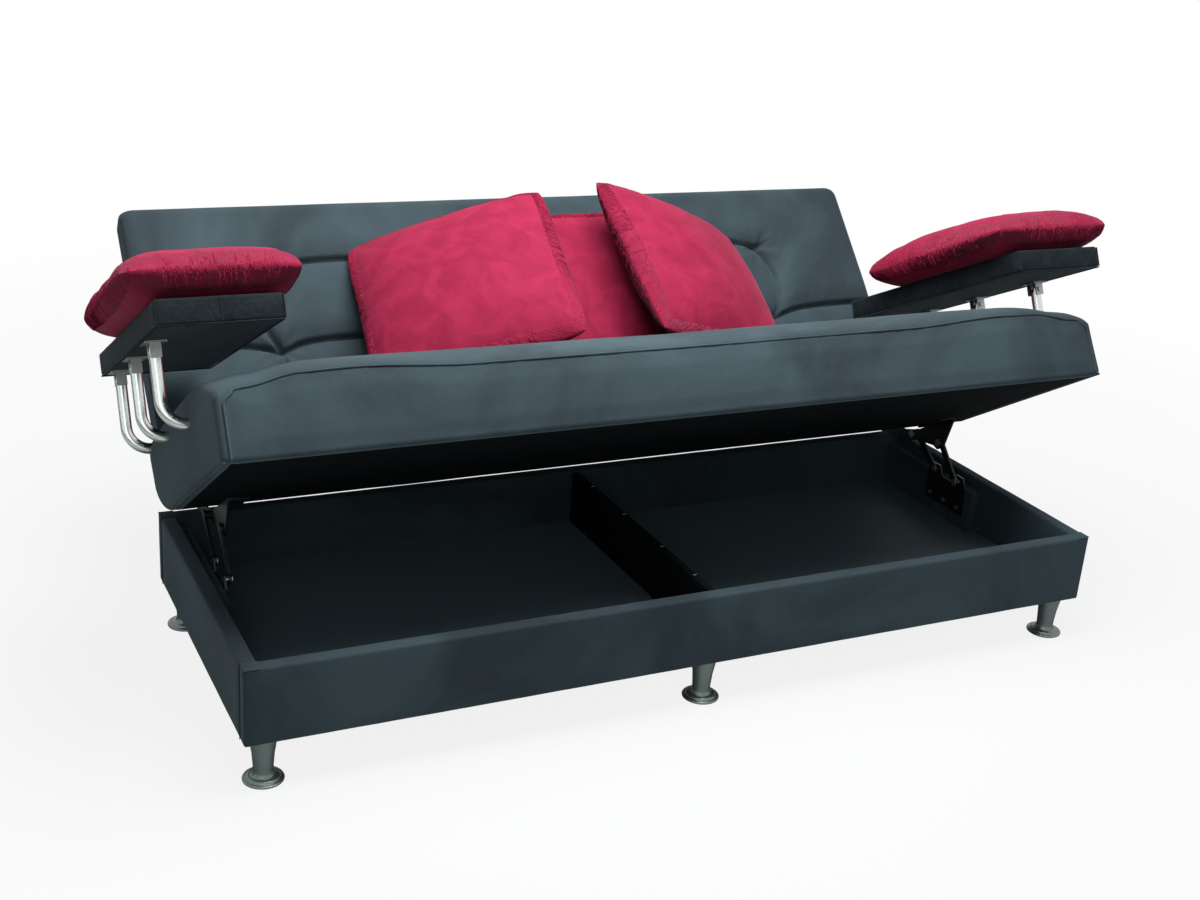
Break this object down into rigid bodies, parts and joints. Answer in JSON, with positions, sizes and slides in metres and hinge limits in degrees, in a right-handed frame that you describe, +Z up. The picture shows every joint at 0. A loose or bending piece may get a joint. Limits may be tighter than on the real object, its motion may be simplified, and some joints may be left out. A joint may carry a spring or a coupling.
{
  "type": "storage sofa",
  "caption": "Click-back sofa bed standing with its seat lifted off a storage box, board arms on bent tubes, loose pillows.",
  "frame": {"origin": "on the floor at the centre of the lifted sofa's footprint", "axes": "+Z up, +X to the right of a person facing the sofa, +Y to the rear"},
  "size_m": [2.135, 1.1651, 0.8816],
  "materials": {
    "box_fabric": "matte",
    "velvet": "matte",
    "red_velvet": "matte",
    "silver_plastic": "satin",
    "chrome": "polished",
    "lining_board": "matte",
    "wood": "matte",
    "webbing": "matte",
    "lining_cloth": "matte",
    "zinc": "satin",
    "bracket_steel": "satin"
  },
  "bodies": {
    "box": {"front_wall": "box_fabric", "rear_wall": "box_fabric", "left_wall": "box_fabric", "right_wall": "box_fabric", "floor_panel": "lining_board", "floor_battens": "wood", "divider": "lining_board", "link_cleats": "wood", "lower_bracket_left": "bracket_steel", "lower_bracket_right": "bracket_steel", "lower_pivot_bolts": "zinc", "bracket_screws": "zinc", "foot_plates": "zinc", "foot_front_left": "silver_plastic", "foot_front_middle": "silver_plastic", "foot_front_right": "silver_plastic", "foot_rear_left": "silver_plastic", "foot_rear_middle": "silver_plastic", "foot_rear_right": "silver_plastic"},
    "seat": {"arm_core_left": "wood", "arm_core_right": "wood", "arm_cover_left": "velvet", "arm_cover_right": "velvet", "arm_saddle_bolts": "zinc", "arm_saddles": "zinc", "arm_tube_front_left": "chrome", "arm_tube_front_right": "chrome", "arm_tube_middle_left": "chrome", "arm_tube_middle_right": "chrome", "arm_tube_rear_left": "chrome", "arm_tube_rear_right": "chrome", "recline_bolts": "zinc", "recline_drums": "bracket_steel", "seat_bracket_left": "bracket_steel", "seat_bracket_right": "bracket_steel", "seat_cushion": "velvet", "seat_rails": "wood", "seat_side_board_left": "wood", "seat_side_board_right": "wood", "seat_underside_cloth": "lining_cloth", "seat_webbing": "webbing", "tube_sockets": "zinc", "upper_pivot_bolts": "zinc"},
    "back": {"back_bracket_left": "bracket_steel", "back_bracket_right": "bracket_steel", "back_buttons": "velvet", "back_cushion": "velvet", "back_frame": "wood", "back_rear_cloth": "lining_cloth", "back_webbing": "webbing"},
    "front_link_left": {"front_link_left": "bracket_steel"},
    "front_link_right": {"front_link_right": "bracket_steel"},
    "rear_link_left": {"rear_link_left": "bracket_steel"},
    "rear_link_right": {"rear_link_right": "bracket_steel"},
    "arm_pillow_left": {"arm_pillow_left": "red_velvet"},
    "arm_pillow_right": {"arm_pillow_right": "red_velvet"},
    "left_pillow": {"left_pillow": "red_velvet"},
    "middle_pillow": {"middle_pillow": "red_velvet"},
    "right_pillow": {"right_pillow": "red_velvet"}
  },
  "joints": [
    {"name": "seat_lift", "type": "hinge", "parent": "box", "child": "seat", "pos_m": [0, 0.0685, 0.298], "axis": [1, 0, 0], "range_deg": [0, 31.8]},
    {"name": "back_recline", "type": "hinge", "parent": "seat", "child": "back", "pos_m": [0, 0.16166, 0.31731], "axis": [-1, 0, 0], "range_deg": [0, 76]},
    {"name": "front_link_left_turn", "type": "hinge", "parent": "box", "child": "front_link_left", "pos_m": [-0.868, -0.2015, 0.228], "axis": [1, 0, 0], "range_deg": [-65.16, 0]},
    {"name": "rear_link_left_turn", "type": "hinge", "parent": "box", "child": "rear_link_left", "pos_m": [-0.868, -0.1145, 0.228], "axis": [1, 0, 0], "range_deg": [-31.21, 0]},
    {"name": "front_link_right_turn", "type": "hinge", "parent": "box", "child": "front_link_right", "pos_m": [0.868, -0.2015, 0.228], "axis": [1, 0, 0], "range_deg": [-65.16, 0]},
    {"name": "rear_link_right_turn", "type": "hinge", "parent": "box", "child": "rear_link_right", "pos_m": [0.868, -0.1145, 0.228], "axis": [1, 0, 0], "range_deg": [-31.21, 0]},
    {"name": "arm_pillow_left_lift", "type": "slide", "parent": "seat", "child": "arm_pillow_left", "axis": [0, 0.4352, 0.9003], "range_m": [0, 0.25]},
    {"name": "arm_pillow_right_lift", "type": "slide", "parent": "seat", "child": "arm_pillow_right", "axis": [0, 0.4352, 0.9003], "range_m": [0, 0.25]},
    {"name": "middle_pillow_lift", "type": "slide", "parent": "back", "child": "middle_pillow", "axis": [0, 0.6833, 0.7302], "range_m": [0, 0.25]},
    {"name": "left_pillow_lift", "type": "slide", "parent": "back", "child": "left_pillow", "axis": [0, -0.7302, 0.6833], "range_m": [0, 0.25]},
    {"name": "right_pillow_lift", "type": "slide", "parent": "back", "child": "right_pillow", "axis": [0, -0.7302, 0.6833], "range_m": [0, 0.25]}
  ],
  "couplings": [
    {"joint": "front_link_left_turn", "follows": "seat_lift", "ratio": -2.0332},
    {"joint": "rear_link_left_turn", "follows": "seat_lift", "ratio": -0.96581},
    {"joint": "front_link_right_turn", "follows": "seat_lift", "ratio": -2.0332},
    {"joint": "rear_link_right_turn", "follows": "seat_lift", "ratio": -0.96581}
  ]
}
